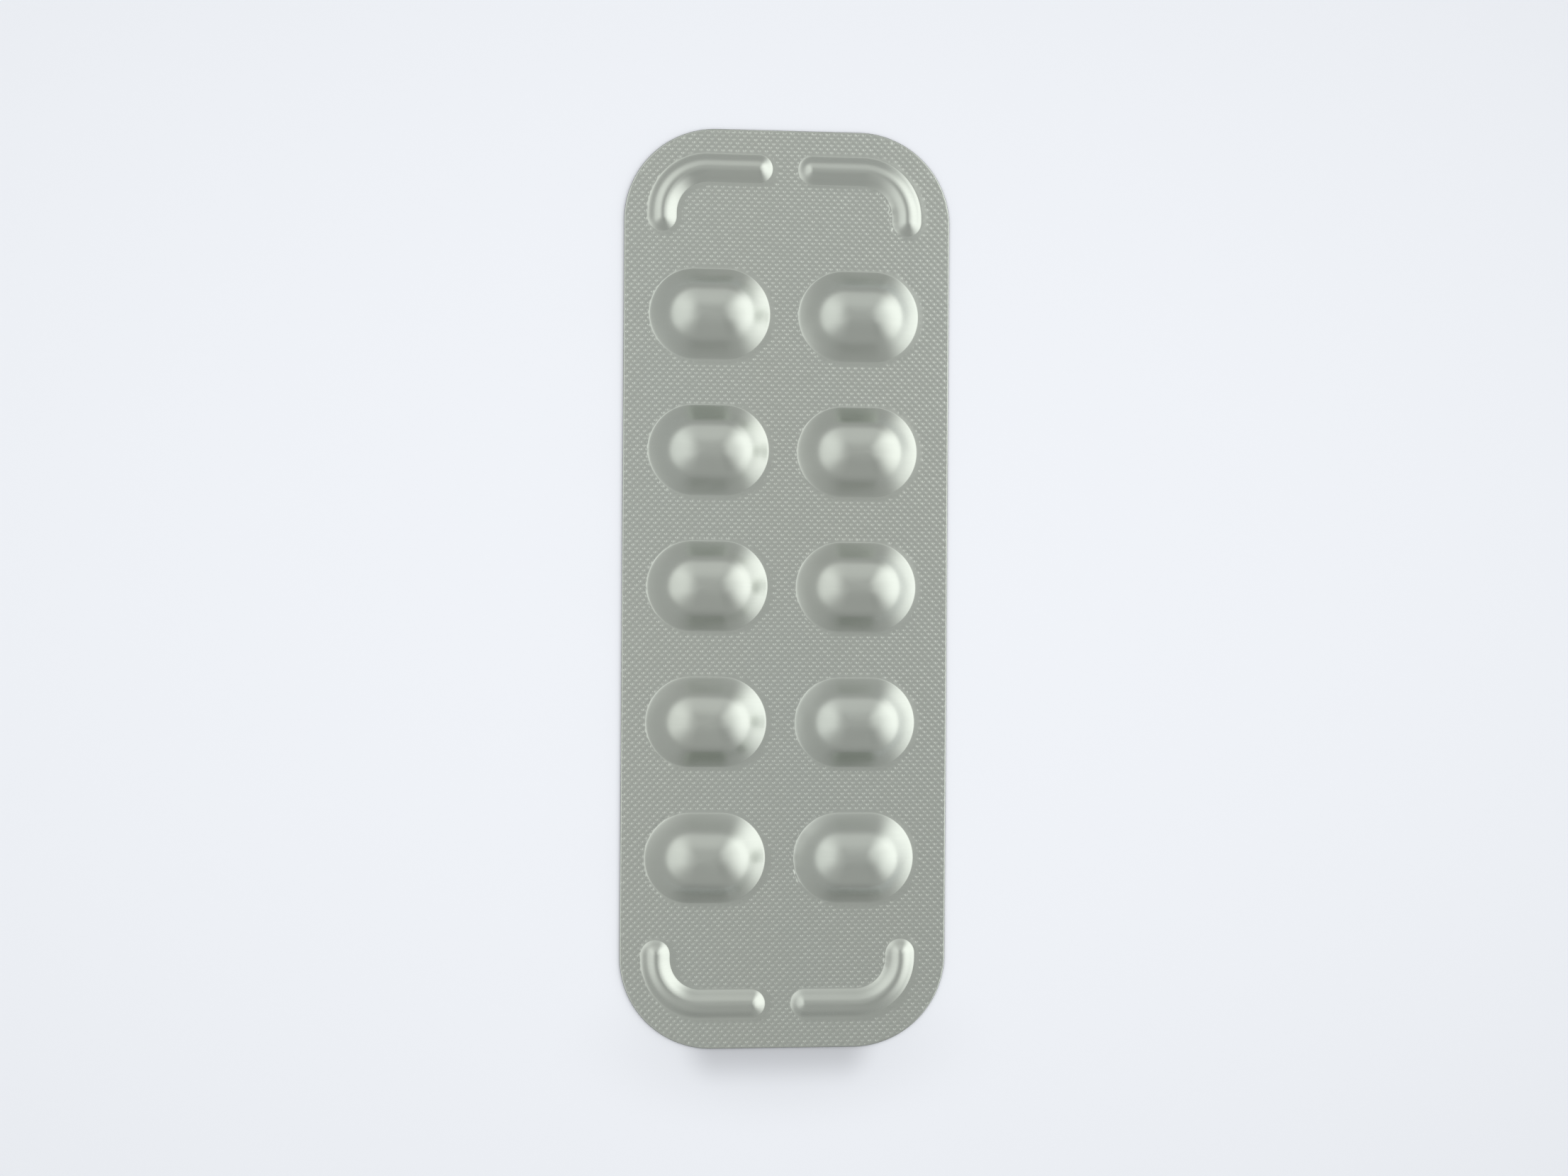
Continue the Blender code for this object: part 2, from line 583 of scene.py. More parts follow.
@dataclass
class SkinMesh:
    """Points and faces of a skin as they are gathered, with the share of the knurl at each point."""

    points: list[Points] = field(default_factory=list)
    faces: Faces = field(default_factory=list)
    seal: list[Points] = field(default_factory=list)
    count: int = 0

    def add(self, points: Points, seal: Points | float = 0.0) -> np.ndarray:
        """Adds points.

        Args:
            points: Points in space, one row each.
            seal: Share of the knurl's depth that each point takes.

        Returns:
            The new points' numbers.
        """
        self.points.append(points)
        self.seal.append(np.broadcast_to(seal, (len(points),)))
        numbers = np.arange(self.count, self.count + len(points))
        self.count += len(points)
        return numbers

    def bridge(self, lower: np.ndarray, upper: np.ndarray) -> None:
        """Joins two loops with the same number of points by a band of four-sided faces.

        Args:
            lower: Numbers of the points of the loop farther out.
            upper: Numbers of the points of the loop farther in.
        """
        after_lower, after_upper = np.roll(lower, -1), np.roll(upper, -1)
        self.faces += zip(lower.tolist(), after_lower.tolist(), after_upper.tolist(), upper.tolist())

    def to_mesh(self, name: str, flip: bool) -> bpy.types.Mesh:
        """Makes the mesh, with points that share a place made one.

        Args:
            name: The mesh's name.
            flip: Turns every face round.

        Returns:
            The mesh, in metres, with its seal attribute.
        """
        points, seal = np.vstack(self.points), np.concatenate(self.seal)
        _, first, number = np.unique(np.round(points, 5), axis=0, return_index=True, return_inverse=True)
        number = number.reshape(-1)
        faces = []
        for face in self.faces:
            corners = list(dict.fromkeys(number[list(face)].tolist()))
            if len(corners) > 2:
                faces.append(corners[::-1] if flip else corners)
        mesh = bpy.data.meshes.new(name)
        mesh.from_pydata((points[first] * MM).tolist(), [], faces)
        attribute = mesh.attributes.new("seal", "FLOAT", "POINT")
        attribute.data.foreach_set("value", seal[first].astype(np.float32))
        return mesh


class Wiring:
    """Places and links the nodes of one tree."""

    def __init__(self, tree: bpy.types.NodeTree) -> None:
        """Keeps the tree that the nodes go into."""
        self.tree = tree

    def node(self, kind: str, inputs: dict | None = None, **settings: object) -> bpy.types.Node:
        """Adds a node.

        Args:
            kind: The node's type name.
            inputs: A value or an output socket for each named or numbered input.
            **settings: Properties of the node.

        Returns:
            The node.
        """
        made = self.tree.nodes.new(kind)
        for name, value in settings.items():
            setattr(made, name, value)
        self.feed(made, inputs or {})
        return made

    def feed(self, node: bpy.types.Node, inputs: dict) -> None:
        """Sets or links inputs of a node.

        Args:
            node: The node.
            inputs: A value or an output socket for each named or numbered input.
        """
        for key, value in inputs.items():
            if isinstance(value, Socket):
                self.tree.links.new(value, node.inputs[key])
            else:
                node.inputs[key].default_value = value

    def math(self, operation: str, *values: object) -> Socket:
        """Adds a Math node and returns its result."""
        return self.node("ShaderNodeMath", dict(enumerate(values)), operation=operation).outputs[0]

    def vector(self, operation: str, *values: object) -> Socket:
        """Adds a Vector Math node and returns its vector."""
        return self.node("ShaderNodeVectorMath", dict(enumerate(values)), operation=operation).outputs[0]

    def fade(self, angle: Socket, none: float, full: float) -> Socket:
        """Rises smoothly from 0 to 1 between two angles.

        Args:
            angle: The angle looked at, in radians.
            none: Angle in degrees at which the result is 0.
            full: Angle in degrees at which it is 1.

        Returns:
            The result.
        """
        ends = {"Value": angle, "From Min": math.radians(none), "From Max": math.radians(full)}
        return self.node("ShaderNodeMapRange", ends, interpolation_type="SMOOTHSTEP").outputs[0]

    def socket(self, name: str, kind: str, outward: bool = False) -> None:
        """Adds an input or an output to the tree's own interface."""
        side = "OUTPUT" if outward else "INPUT"
        self.tree.interface.new_socket(name, in_out=side, socket_type=kind)


class KnurlPress:
    """Presses square dents into a sheet's seal by Geometry Nodes.

    Attributes:
        WAVE_SCALE: Swells of the drawn foil's slow unevenness in a metre.
        WAVE_GROWN: Height over its base at which the unevenness is full, in metres.
    """

    WAVE_SCALE = 260.0
    WAVE_GROWN = 0.8 * MM

    def __init__(self) -> None:
        """Builds the tree once."""
        self.tree = bpy.data.node_groups.new("knurl_press", "GeometryNodeTree")
        self.tree.is_modifier = True
        wiring = Wiring(self.tree)
        wiring.socket("Geometry", "NodeSocketGeometry")
        for name in (
            "Pitch", "Mouth", "Turn", "Depth", "Roundness", "Unevenness", "Wave", "Wave Base", "Seed"
        ):
            wiring.socket(name, "NodeSocketFloat")
        wiring.socket("Material", "NodeSocketMaterial")
        wiring.socket("Geometry", "NodeSocketGeometry", outward=True)
        given = wiring.node("NodeGroupInput").outputs
        place = wiring.node("GeometryNodeInputPosition").outputs[0]
        turned = wiring.node(
            "ShaderNodeVectorRotate",
            {"Vector": place, "Angle": wiring.math("MULTIPLY", given["Turn"], -1.0)},
            rotation_type="Z_AXIS",
        ).outputs[0]
        in_pitches = wiring.node(
            "ShaderNodeVectorMath",
            {0: turned, "Scale": wiring.math("DIVIDE", 1.0, given["Pitch"])},
            operation="SCALE",
        ).outputs[0]
        cell = wiring.vector("FLOOR", wiring.vector("ADD", in_pitches, (0.5, 0.5, 0.5)))
        off_middle = wiring.vector("ABSOLUTE", wiring.vector("SUBTRACT", in_pitches, cell))
        apart = wiring.node("ShaderNodeSeparateXYZ", {0: off_middle}).outputs
        from_middle = wiring.math("MULTIPLY", wiring.math("MAXIMUM", apart[0], apart[1]), given["Pitch"])
        half_mouth = wiring.math("MULTIPLY", given["Mouth"], 0.5)
        reach = wiring.math("MINIMUM", wiring.math("DIVIDE", from_middle, half_mouth), 1.0)
        hollow = wiring.math("SUBTRACT", 1.0, wiring.math("POWER", reach, given["Roundness"]))
        flat_cell = wiring.vector("MULTIPLY", cell, (1.0, 1.0, 0.0))
        chance = wiring.node(
            "ShaderNodeTexWhiteNoise", {"Vector": flat_cell, "W": given["Seed"]}, noise_dimensions="4D"
        ).outputs["Value"]
        share = wiring.math("SUBTRACT", 1.0, wiring.math("MULTIPLY", given["Unevenness"], chance))
        seal = wiring.node(
            "GeometryNodeInputNamedAttribute", {"Name": "seal"}, data_type="FLOAT"
        ).outputs[0]
        depth = wiring.math("MULTIPLY", wiring.math("MULTIPLY", given["Depth"], share), seal)
        drop = wiring.math("MULTIPLY", wiring.math("MULTIPLY", hollow, depth), -1.0)
        rise = wiring.math("ADD", drop, self.wave(wiring, place, given))
        offset = wiring.node("ShaderNodeCombineXYZ", {"Z": rise}).outputs[0]
        pressed = wiring.node("GeometryNodeSetPosition", {"Geometry": given["Geometry"], "Offset": offset})
        real = wiring.node("GeometryNodeRealizeInstances", {"Geometry": pressed.outputs[0]})
        faced = wiring.node(
            "GeometryNodeSetMaterial", {"Geometry": real.outputs[0], "Material": given["Material"]}
        )
        wiring.node("NodeGroupOutput", {0: faced.outputs[0]})

    def wave(
        self, wiring: Wiring, place: Socket, given: bpy.types.bpy_prop_collection
    ) -> Socket:
        """Wires the slow unevenness of foil that has been drawn, which grows with height over the base.

        Args:
            wiring: The tree's nodes.
            place: Each point's place.
            given: The tree's inputs.

        Returns:
            The rise at each point.
        """
        noise = wiring.node(
            "ShaderNodeTexNoise",
            {
                "Vector": place,
                "W": given["Seed"],
                "Scale": self.WAVE_SCALE,
                "Detail": 1.0,
                "Roughness": 0.4,
            },
            noise_dimensions="4D",
        ).outputs[0]
        height = wiring.node("ShaderNodeSeparateXYZ", {0: place}).outputs[2]
        over_base = wiring.math("SUBTRACT", height, given["Wave Base"])
        ends = {"Value": over_base, "From Max": self.WAVE_GROWN}
        grown = wiring.node("ShaderNodeMapRange", ends).outputs[0]
        swell = wiring.math("MULTIPLY", wiring.math("SUBTRACT", noise, 0.5), grown)
        return wiring.math("MULTIPLY", swell, given["Wave"])

    def press(
        self,
        piece: bpy.types.Object,
        die: SealDie,
        depth: float,
        wave: tuple[float, float],
        seed: float,
        material: bpy.types.Material,
    ) -> None:
        """Knurls a piece and leaves a plain mesh.

        Args:
            piece: The piece, whose seal attribute says where the knurl goes.
            die: The die's sizes.
            depth: Depth of a dent, and negative to press upwards.
            wave: The foil's slow unevenness, and the height at which it is nothing.
            seed: Picks the dents' and the foil's unevenness.
            material: The piece's finish.
        """
        modifier = piece.modifiers.new("knurl", "NODES")
        modifier.node_group = self.tree
        values = {
            "Pitch": die.pitch * MM,
            "Mouth": die.mouth * MM,
            "Turn": die.turn,
            "Depth": depth * MM,
            "Roundness": die.roundness,
            "Unevenness": die.unevenness,
            "Wave": wave[0] * MM,
            "Wave Base": wave[1] * MM,
            "Seed": seed,
            "Material": material,
        }
        for item in self.tree.interface.items_tree:
            if item.in_out == "INPUT" and item.name in values:
                modifier[item.identifier] = values[item.name]
        bpy.context.view_layer.update()
        graph = bpy.context.evaluated_depsgraph_get()
        pressed = bpy.data.meshes.new_from_object(piece.evaluated_get(graph))
        piece.modifiers.clear()
        piece.data = pressed


@dataclass(frozen=True)
class SatinFoil:
    """Rolled aluminium with a satin face.

    Attributes:
        colour: Its mean colour.
        cool: Tint of the patches that are a little bluer, as a factor on the colour.
        warm: Tint of the patches that are a little pinker.
        roughness: Its mean roughness.
        painted_cut_shade: Share of the colour that the cut edge loses, a painted shade along the cut.
        roughness_swing: How far the roughness strays along the rolling grain.
        grain: Strength of the bump that the rolling lines give.
        grain_height: Height of those lines, in metres.
        grain_scale: Rolling lines in a metre, along each axis.
        tint_scale: Patches of tint in a metre, along each axis.
    """

    colour: tuple[float, float, float] = (0.495, 0.528, 0.481)
    cool: tuple[float, float, float] = (0.99, 1.0, 1.012)
    warm: tuple[float, float, float] = (1.012, 1.0, 0.99)
    roughness: float = 0.24
    painted_cut_shade: float = 0.75
    roughness_swing: float = 0.05
    grain: float = 0.06
    grain_height: float = 0.02 * MM
    grain_scale: tuple[float, float, float] = (260.0, 9000.0, 260.0)
    tint_scale: tuple[float, float, float] = (60.0, 22.0, 60.0)

    def material(self, name: str) -> bpy.types.Material:
        """Makes the material.

        Args:
            name: The material's name.

        Returns:
            The material.
        """
        made = bpy.data.materials.new(name)
        made.use_nodes = True
        wiring = Wiring(made.node_tree)
        place = wiring.node("ShaderNodeTexCoord").outputs["Object"]
        rolled = wiring.node("ShaderNodeGroup", {"Place": place}, node_tree=self.rolling()).outputs
        swing = tuple(cool - warm for cool, warm in zip(self.cool, self.warm))
        tint = wiring.vector("MULTIPLY_ADD", rolled["Tint"], swing, self.warm)
        # Painted shade along the cut: points marked on the cut lose part of the base colour.
        cut = wiring.node("ShaderNodeAttribute", attribute_name="cut").outputs["Fac"]
        shade = wiring.math("MULTIPLY_ADD", cut, -self.painted_cut_shade, 1.0)
        stray = wiring.math("SUBTRACT", rolled["Grain"], 0.5)
        bump = {"Strength": self.grain, "Distance": self.grain_height, "Height": rolled["Grain"]}
        finish = {
            "Metallic": 1.0,
            "Base Color": wiring.vector("MULTIPLY", wiring.vector("MULTIPLY", tint, self.colour), shade),
            "Roughness": wiring.math("MULTIPLY_ADD", stray, 2 * self.roughness_swing, self.roughness),
            "Normal": wiring.node("ShaderNodeBump", bump).outputs[0],
        }
        wiring.feed(made.node_tree.nodes["Principled BSDF"], finish)
        return made

    def rolling(self) -> bpy.types.NodeTree:
        """Makes the marks that rolling leaves, as a shader node group that both skins share.

        Returns:
            The group, whose outputs are the grain and the slow change of tint.
        """
        kept = bpy.data.node_groups.get("rolling_marks")
        if kept:
            return kept
        tree = bpy.data.node_groups.new("rolling_marks", "ShaderNodeTree")
        wiring = Wiring(tree)
        wiring.socket("Place", "NodeSocketVector")
        wiring.socket("Grain", "NodeSocketFloat", outward=True)
        wiring.socket("Tint", "NodeSocketFloat", outward=True)
        place = wiring.node("NodeGroupInput").outputs["Place"]
        along = wiring.vector("MULTIPLY", place, self.grain_scale)
        broad = wiring.vector("MULTIPLY", place, self.tint_scale)
        grain = wiring.node("ShaderNodeTexNoise", {"Vector": along, "Scale": 1.0, "Detail": 3.0}).outputs[0]
        tint = wiring.node("ShaderNodeTexNoise", {"Vector": broad, "Scale": 1.0, "Detail": 2.0}).outputs[0]
        wiring.node("NodeGroupOutput", {"Grain": grain, "Tint": tint})
        return tree


@dataclass
class FoilPack:
    """The pack's two skins, in the space of the solid that they stand for.

    Attributes:
        tool: What forms the pockets and beads.
        die: What knurls the seal.
        foil: The finish of both skins.
        web_top: Height of the web between the dents.
        parting: Height at which the skins meet.
        parting_gap: Room between them there.
        dent_depth: Depth of the formed foil's dents.
        lid_dent_depth: Depth of the lidding foil's dents.
        wave: Range of the drawn foil's slow unevenness.
        clear_of_loops: Room that the knurl's points keep from the loops of points.
        roll_over: Distance in from the cut and down from the web, for each loop at the formed foil's edge.
        lid_roll: The same at the lidding foil's edge.
        cut_width: Width of the painted dark line of shade at the cut.
        sharp_angle: Angle in degrees from which an edge is hard.
        relief_fade: Power by which the unpressed foil's height fades from a foot up the wall.
    """

    tool: FormingTool = field(default_factory=FormingTool)
    die: SealDie = field(default_factory=SealDie)
    foil: SatinFoil = field(default_factory=SatinFoil)
    web_top: float = 0.25
    parting: float = 0.07
    parting_gap: float = 0.004
    dent_depth: float = 0.063
    lid_dent_depth: float = 0.03
    wave: float = 0.09
    clear_of_loops: float = 0.05
    roll_over: tuple[tuple[float, float], ...] = ((0.16, 0.0), (0.06, 0.012), (0.0, 0.06))
    lid_roll: tuple[tuple[float, float], ...] = ((0.08, 0.0), (0.0, 0.015))
    cut_width: float = 0.02
    sharp_angle: float = 75.0
    relief_fade: float = 8.0

    def __post_init__(self) -> None:
        """Takes the outline's size from the solid and places the formed shapes on it."""
        low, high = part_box(NODE)
        self.outline = CutOutline((high[0] - low[0]) / MM, (high[1] - low[1]) / MM)
        self.shapes = self.tool.shapes(self.outline.width, self.outline.length)
        self.knurl = KnurlPress()

    def knurled_sheet(
        self, skin: SkinMesh, edge: tuple[tuple[float, float], ...], side: Side
    ) -> tuple[np.ndarray, list[np.ndarray]]:
        """Lays a skin's knurled face, from the cut in to the formed shapes.

        Args:
            skin: The skin that it goes into.
            edge: Distance in from the cut and distance back from the face, for each loop round the edge.
            side: Which way the face looks.

        Returns:
            Numbers of the outermost loop's points, and of each formed shape's base loop.
        """
        loops = [self.outline.loop(inset) for inset, _ in edge]
        loose = self.die.lattice(self.outline, self.shapes)
        loose = loose[self.outline.inside(loose) > edge[0][0] + self.clear_of_loops]
        if side is Side.POCKETS:
            loops += [shape.foot() for shape in self.shapes]
            loose = loose[past_foot(self.shapes, loose) > self.clear_of_loops]
        places, triangles, numbers = triangulated(loose, loops)
        height = np.zeros(len(places))
        if side is Side.POCKETS:
            triangles = triangles[past_foot(self.shapes, places[triangles].mean(axis=1)) > 0.0]
            height = self.web_top + self.die.relief_height(self.shapes, places)
            for loop in numbers[len(edge) :]:
                height[loop] -= self.tool.notch_depth(places[loop])
        seal = self.die.pressed(self.shapes, places)
        for (_, back), loop in zip(edge, numbers):
            height[loop] -= side.value * back
            seal[loop] = 0.0
        first = skin.add(np.column_stack((places, height)), seal)[0]
        skin.faces += (triangles + first).tolist()
        numbers = [loop + first for loop in numbers]
        return numbers[len(edge) - 1], numbers[len(edge) :]

    def mark_painted_cut_shade(self, mesh: bpy.types.Mesh) -> None:
        """Marks the points on the cut itself, where painted shade makes the foil's edge darker than its
        face.

        Args:
            mesh: The piece's mesh.
        """
        places = np.zeros(len(mesh.vertices) * 3)
        mesh.vertices.foreach_get("co", places)
        cut = self.outline.inside(places.reshape(-1, 3)[:, :2] / MM) < self.cut_width
        mesh.attributes.new("cut", "FLOAT", "POINT").data.foreach_set("value", cut.astype(np.float32))

    def raise_shape(self, skin: SkinMesh, shape: FormedShape, base: np.ndarray) -> None:
        """Lofts a formed shape from its base loop in to its spine.

        Args:
            skin: The skin that it goes into.
            shape: The shape.
            base: Numbers of the base loop's points.
        """
        form, foot = shape.form, shape.foot()
        foot_relief = self.die.relief_height(self.shapes, foot) - self.tool.notch_depth(foot)
        lower = base
        for reach, rise in form.section()[-2::-1]:
            share = reach / (form.width / 2)
            places = shape.spine.gathered(share**form.gather).loop(reach, form.cap_steps)
            height = self.web_top + rise + foot_relief * share**self.relief_fade
            upper = skin.add(np.column_stack((places, height)))
            skin.bridge(lower, upper)
            lower = upper

    def close_back(self, skin: SkinMesh, outer: np.ndarray, level: float) -> None:
        """Closes a skin by its cut edge and one flat face behind.

        Args:
            skin: The skin that they go into.
            outer: Numbers of the outermost loop's points.
            level: Height of the flat face.
        """
        cut = self.outline.loop(0.0)
        behind = skin.add(np.column_stack((cut, np.full(len(cut), level))))
        skin.bridge(behind, outer)
        skin.faces.append(tuple(behind[::-1].tolist()))

    def finished(self, name: str, skin: SkinMesh, side: Side, depth: float) -> bpy.types.Object:
        """Turns a skin into a knurled and shaded piece.

        Args:
            name: The piece's name.
            skin: Its points and faces.
            side: Which way its knurled face looks.
            depth: Depth of its dents.

        Returns:
            The piece.
        """
        piece = bpy.data.objects.new(name, skin.to_mesh(name, flip=side is Side.LIDDING))
        bpy.context.scene.collection.objects.link(piece)
        material = self.foil.material(f"{name}_face")
        piece.data.materials.append(material)
        wave = (self.wave if side is Side.POCKETS else 0.0, self.parting)
        self.knurl.press(piece, self.die, side.value * depth, wave, float(side.value), material)
        self.mark_painted_cut_shade(piece.data)
        piece.data.shade_smooth()
        piece.data.set_sharp_from_angle(angle=math.radians(self.sharp_angle))
        log.info("%s: %d points, %d faces", name, len(piece.data.vertices), len(piece.data.polygons))
        return piece

    def formed_foil(self) -> bpy.types.Object:
        """Makes the face with the pockets and beads, and returns it."""
        skin = SkinMesh()
        outer, bases = self.knurled_sheet(skin, self.roll_over, Side.POCKETS)
        for shape, base in zip(self.shapes, bases):
            self.raise_shape(skin, shape, base)
        self.close_back(skin, outer, self.parting)
        return self.finished("formed_foil", skin, Side.POCKETS, self.dent_depth)

    def lidding_foil(self) -> bpy.types.Object:
        """Makes the flat foil behind, and returns it."""
        skin = SkinMesh()
        outer, _ = self.knurled_sheet(skin, self.lid_roll, Side.LIDDING)
        self.close_back(skin, outer, self.parting - self.parting_gap)
        return self.finished("lidding_foil", skin, Side.LIDDING, self.lid_dent_depth)

    def build(self) -> list[bpy.types.Object]:
        """Makes both skins and ties them to the solid's body."""
        pieces = [self.formed_foil(), self.lidding_foil()]
        for piece in pieces:
            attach(piece, BODY)
            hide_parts(NODE)
        return pieces


@dataclass(frozen=True)
class SoftWindow:
    """A large soft light in the surroundings, round a bearing and between two elevations.

    Attributes:
        bearing: Direction of its middle in degrees, anticlockwise from +X.
        half_width: Half the angle that it spans.
        side_blur: Angle by which each side fades to either hand of its line.
        bottom: Elevations at which it begins and is full.
        top: Elevations at which it is last full and ends.
        strength: Light that it adds.
    """

    bearing: float
    half_width: float
    side_blur: float
    bottom: tuple[float, float]
    top: tuple[float, float]
    strength: float

    def light(self, wiring: Wiring, direction: Socket, elevation: Socket) -> Socket:
        """Wires the light that the window adds in each direction.

        Args:
            wiring: The world's nodes.
            direction: The direction looked in.
            elevation: Its angle over the floor, in radians.

        Returns:
            The strength to add.
        """
        turned = wiring.node(
            "ShaderNodeVectorRotate",
            {"Vector": direction, "Angle": math.radians(-self.bearing)},
            rotation_type="Z_AXIS",
        ).outputs[0]
        parts = wiring.node("ShaderNodeSeparateXYZ", {0: turned}).outputs
        aside = wiring.math("ABSOLUTE", wiring.math("ARCTAN2", parts[1], parts[0]))
        within = wiring.fade(aside, self.half_width + self.side_blur, self.half_width - self.side_blur)
        above = wiring.fade(elevation, *self.bottom)
        below = wiring.fade(elevation, *self.top[::-1])
        lit = wiring.math("MULTIPLY", wiring.math("MULTIPLY", within, above), below)
        return wiring.math("MULTIPLY", lit, self.strength)


@dataclass(frozen=True)
class FloorPaper:
    """Pale paper with a painted pool of light, lightest under the middle of the pack, and a painted shadow
    at the pack's near end.

    Attributes:
        colour: Colour where the paper is lightest.
        roughness: Its roughness.
        gloss: Its specular level.
        centre: Middle of the painted pool of light, where the paper is lightest.
        painted_light_falloff: How fast the painted pool of light darkens the paper across and along, per
            square metre.
        painted_light_least: Share of the colour that the painted pool of light keeps everywhere.
        painted_shadow_place: Middle of the painted shadow.
        painted_shadow_core: The painted shadow's dark middle: the half width that it keeps, its reach
            beyond, its reach along and its depth.
        painted_shadow_halo: The same for the painted shadow's wide pale ring round it.
    """

    colour: tuple[float, float, float] = (0.908, 0.934, 0.98)
    roughness: float = 0.9
    gloss: float = 0.1
    centre: tuple[float, float] = (0.0, 0.008)
    painted_light_falloff: tuple[float, float] = (3.9, 8.6)
    painted_light_least: float = 0.85
    # Painted shadow under the pack's near end, darkening the paper's colour.
    painted_shadow_place: tuple[float, float] = (-0.0004, -0.053)
    painted_shadow_core: tuple[float, float, float, float] = (0.007, 0.006, 0.006, 0.28)
    painted_shadow_halo: tuple[float, float, float, float] = (0.0, 0.03, 0.0125, 0.12)

    def material(self) -> bpy.types.Material:
        """Makes the material and returns it."""
        made = bpy.data.materials.new("floor_paper_painted_light_and_shadow")
        made.use_nodes = True
        wiring = Wiring(made.node_tree)
        place = wiring.node("ShaderNodeTexCoord").outputs["Object"]
        across, along, _ = wiring.node("ShaderNodeSeparateXYZ", {0: place}).outputs
        # Painted pool of light: the paper's colour is lightest at the centre and darker outwards.
        level = 1.0
        for coordinate, middle, rate in zip((across, along), self.centre, self.painted_light_falloff):
            away = wiring.math("SUBTRACT", coordinate, middle)
            level = wiring.math("MULTIPLY_ADD", wiring.math("MULTIPLY", away, away), -rate, level)
        level = wiring.math("MAXIMUM", level, self.painted_light_least)
        # Painted shadow at the pack's near end: a dark core and a wide pale halo darken the paper's colour.
        for shade in (self.painted_shadow_core, self.painted_shadow_halo):
            level = wiring.math("MULTIPLY", level, self.painted_shadow_oval(wiring, across, along, *shade))
        scaled = {0: self.colour, "Scale": level}
        colour = wiring.node("ShaderNodeVectorMath", scaled, operation="SCALE").outputs[0]
        finish = {"Base Color": colour, "Roughness": self.roughness, "Specular IOR Level": self.gloss}
        wiring.feed(made.node_tree.nodes["Principled BSDF"], finish)
        return made

    def painted_shadow_oval(
        self,
        wiring: Wiring,
        across: Socket,
        along: Socket,
        keep: float,
        reach_across: float,
        reach_along: float,
        depth: float,
    ) -> Socket:
        """Wires one oval of painted shadow.

        Args:
            wiring: The material's nodes.
            across: Distance across the pack.
            along: Distance along it.
            keep: Half width of the part that doesn't fade.
            reach_across: Distance beyond that over which it fades.
            reach_along: Distance along the pack over which it fades.
            depth: Share of the light that it takes away in its middle.

        Returns:
            The share of the light that is left.
        """
        aside = wiring.math("ABSOLUTE", wiring.math("SUBTRACT", across, self.painted_shadow_place[0]))
        past = wiring.math("MAXIMUM", wiring.math("SUBTRACT", aside, keep), 0.0)
        first = wiring.math("DIVIDE", past, reach_across)
        second = wiring.math("DIVIDE", wiring.math("SUBTRACT", along, self.painted_shadow_place[1]), reach_along)
        squares = wiring.math("MULTIPLY_ADD", first, first, wiring.math("MULTIPLY", second, second))
        ends = {"Value": wiring.math("SQRT", squares), "To Min": 1.0 - depth, "To Max": 1.0}
        return wiring.node("ShaderNodeMapRange", ends, interpolation_type="SMOOTHERSTEP").outputs[0]


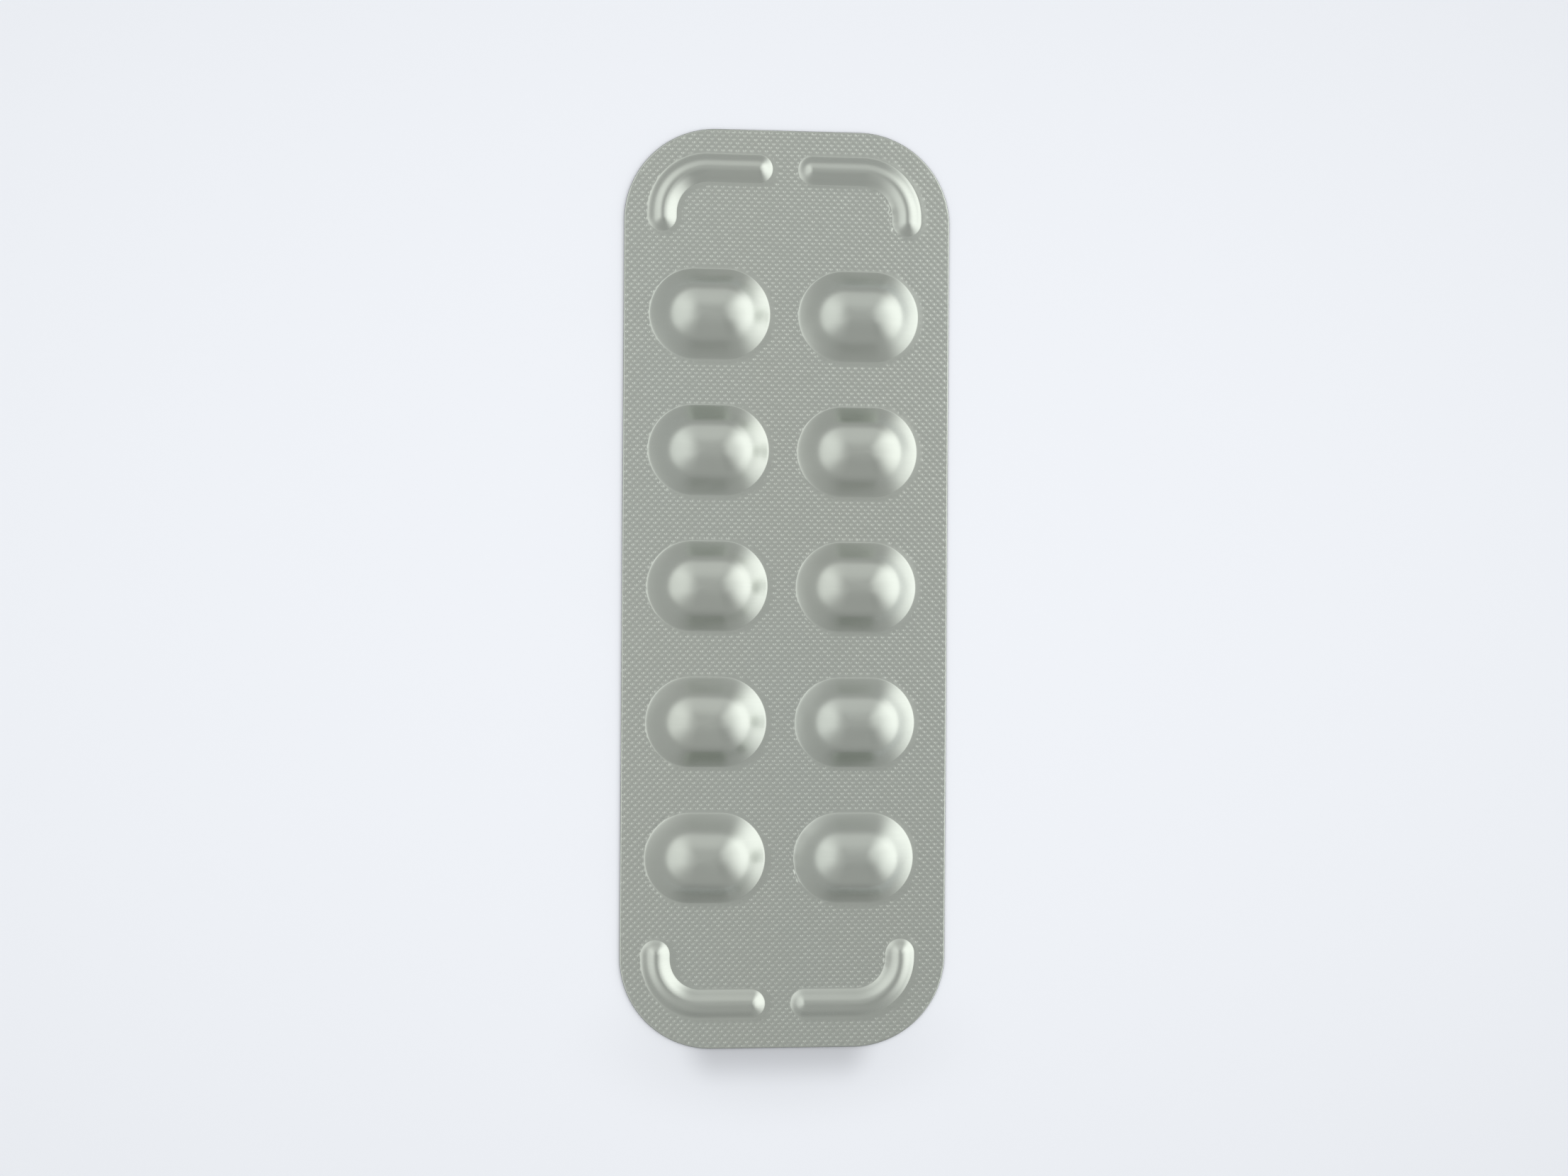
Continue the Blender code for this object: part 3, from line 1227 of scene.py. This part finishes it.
@dataclass
class Studio:
    """The pale floor, the soft surroundings that light the pack and the camera over it.

    Attributes:
        windows: The soft lights laid over the even glow.
        overhead: Strength of the glow overhead.
        skyline: Its strength at the skyline.
        rightward: What it gains high up towards +X.
        rightward_power: Power of the height by which that gathers overhead.
        zenith: What it gains round the zenith.
        zenith_power: Power of the height by which that gathers there.
        nearward: What it gains at the skyline towards -Y.
        nearward_power: Power by which that gathers there.
        paper: The floor's finish, with its painted pool of light and painted shadow.
        floor_half: Half the floor's width.
        floor_drop: How far it lies under the pack.
        camera_distance: How far the camera is from the place that it looks at.
        camera_tilt: Its turn about each axis, in degrees.
        camera_aim: The place on the floor that it looks at.
        lens: Its focal length in millimetres.
    """

    windows: tuple[SoftWindow, ...] = (
        SoftWindow(10.0, 34.0, 22.0, (-4.0, 10.0), (68.0, 79.0), 0.63),
        SoftWindow(3.0, 47.0, 16.0, (-4.0, 10.0), (36.0, 72.0), 0.66),
        SoftWindow(174.0, 50.0, 28.0, (20.0, 36.0), (68.0, 88.0), 0.43),
        SoftWindow(90.0, 55.0, 32.0, (15.0, 37.0), (54.0, 80.0), 0.30),
    )
    overhead: float = 0.6
    skyline: float = 0.59
    rightward: float = -0.6
    rightward_power: float = 3.0
    zenith: float = 0.07
    zenith_power: float = 21.0
    nearward: float = -0.16
    nearward_power: float = 16.0
    paper: FloorPaper = field(default_factory=FloorPaper)
    floor_half: float = 1.5
    floor_drop: float = 0.02 * MM
    camera_distance: float = 0.25
    camera_tilt: tuple[float, float, float] = (-0.183, -5.569, 0.381)
    camera_aim: tuple[float, float] = (-0.000159, 0.000177)
    lens: float = 49.28

    def build(self) -> None:
        """Makes the whole studio."""
        self.build_floor()
        self.build_world()
        self.build_camera()
        bpy.context.scene.view_settings.view_transform = "Standard"

    def build_floor(self) -> None:
        """Makes the floor."""
        half, level = self.floor_half, -self.floor_drop
        mesh = bpy.data.meshes.new("floor")
        corners = [(-half, -half, level), (half, -half, level), (half, half, level), (-half, half, level)]
        mesh.from_pydata(corners, [], [(0, 1, 2, 3)])
        floor = bpy.data.objects.new("floor", mesh)
        mesh.materials.append(self.paper.material())
        bpy.context.scene.collection.objects.link(floor)

    def build_world(self) -> None:
        """Makes the surroundings: an even glow with the windows laid over it."""
        world = bpy.data.worlds.new("surroundings")
        world.use_nodes = True
        wiring = Wiring(world.node_tree)
        direction = wiring.node("ShaderNodeTexCoord").outputs["Generated"]
        parts = wiring.node("ShaderNodeSeparateXYZ", {0: direction}).outputs
        elevation = wiring.math("ARCSINE", parts[2])
        light = wiring.math("MULTIPLY_ADD", parts[2], self.overhead - self.skyline, self.skyline)
        upward = wiring.math("MAXIMUM", parts[2], 0.0)
        overhead = wiring.math("POWER", upward, self.rightward_power)
        tilted = wiring.math("MULTIPLY", parts[0], overhead)
        light = wiring.math("MULTIPLY_ADD", tilted, self.rightward, light)
        round_zenith = wiring.math("POWER", upward, self.zenith_power)
        light = wiring.math("MULTIPLY_ADD", round_zenith, self.zenith, light)
        towards_near = wiring.math("MAXIMUM", wiring.math("MULTIPLY", parts[1], -1.0), 0.0)
        at_near = wiring.math("POWER", towards_near, self.nearward_power)
        light = wiring.math("MULTIPLY_ADD", at_near, self.nearward, light)
        for window in self.windows:
            light = wiring.math("ADD", light, window.light(wiring, direction, elevation))
        glow = {"Color": (1.0, 1.0, 1.0, 1.0), "Strength": light}
        wiring.feed(world.node_tree.nodes["Background"], glow)
        bpy.context.scene.world = world

    def build_camera(self) -> None:
        """Hangs the camera over the pack."""
        data = bpy.data.cameras.new("camera")
        data.lens = self.lens
        data.sensor_width = 36.0
        data.clip_start = 0.01
        camera = bpy.data.objects.new("camera", data)
        camera.rotation_euler = tuple(math.radians(angle) for angle in self.camera_tilt)
        away = camera.rotation_euler.to_matrix() @ Vector((0.0, 0.0, self.camera_distance))
        camera.location = Vector((*self.camera_aim, 0.0)) + away
        bpy.context.scene.collection.objects.link(camera)
        bpy.context.scene.camera = camera


def main() -> None:
    """Builds the pack's skins and the studio."""
    logging.basicConfig(level=logging.INFO, format="%(name)s: %(message)s")
    for piece in FoilPack().build():
        log.info("made %s", piece.name)
    Studio().build()


if __name__ == "__main__":
    main()
